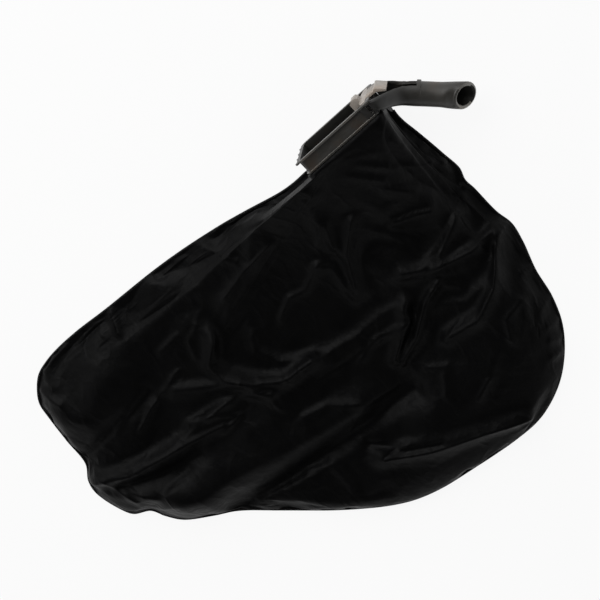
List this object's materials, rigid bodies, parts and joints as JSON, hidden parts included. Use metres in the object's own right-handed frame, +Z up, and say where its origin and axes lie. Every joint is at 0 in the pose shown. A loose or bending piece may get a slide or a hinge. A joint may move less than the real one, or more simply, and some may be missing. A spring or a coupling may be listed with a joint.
{
  "type": "leaf vacuum collection bag",
  "caption": "Limp black cloth bag lying flat, with a moulded rectangular mouth frame, a hollow curved handle and a spring latch lever.",
  "frame": {"origin": "on the floor, under the middle of the whole part's box", "axes": "+X along the mouth frame's long side towards the handle, +Y out of the mouth, +Z up from the floor"},
  "size_m": [0.8212, 0.5378, 0.0956],
  "materials": {
    "cloth": "closely woven polyester with a soft satin sheen",
    "band": "folded and stitched hem tape",
    "frame_plastic": "fine satin moulded surface",
    "latch_plastic": "satin moulded surface, worn pale",
    "steel": "drawn wire"
  },
  "bodies": {
    "root": {"upper_panel": "cloth", "lower_panel": "cloth", "edge_band": "band", "mouth_frame": "frame_plastic", "clamp_ring": "frame_plastic", "handle": "frame_plastic", "latch_pin": "steel"},
    "latch": {"latch_lever": "latch_plastic"}
  },
  "joints": [
    {"name": "latch_press", "type": "hinge", "parent": "root", "child": "latch", "pos_m": [0.29139, 0.24735, 0.0478], "axis": [0, 0, -1], "range_deg": [0, 9], "stiffness_Nm_per_rad": 0.25}
  ]
}
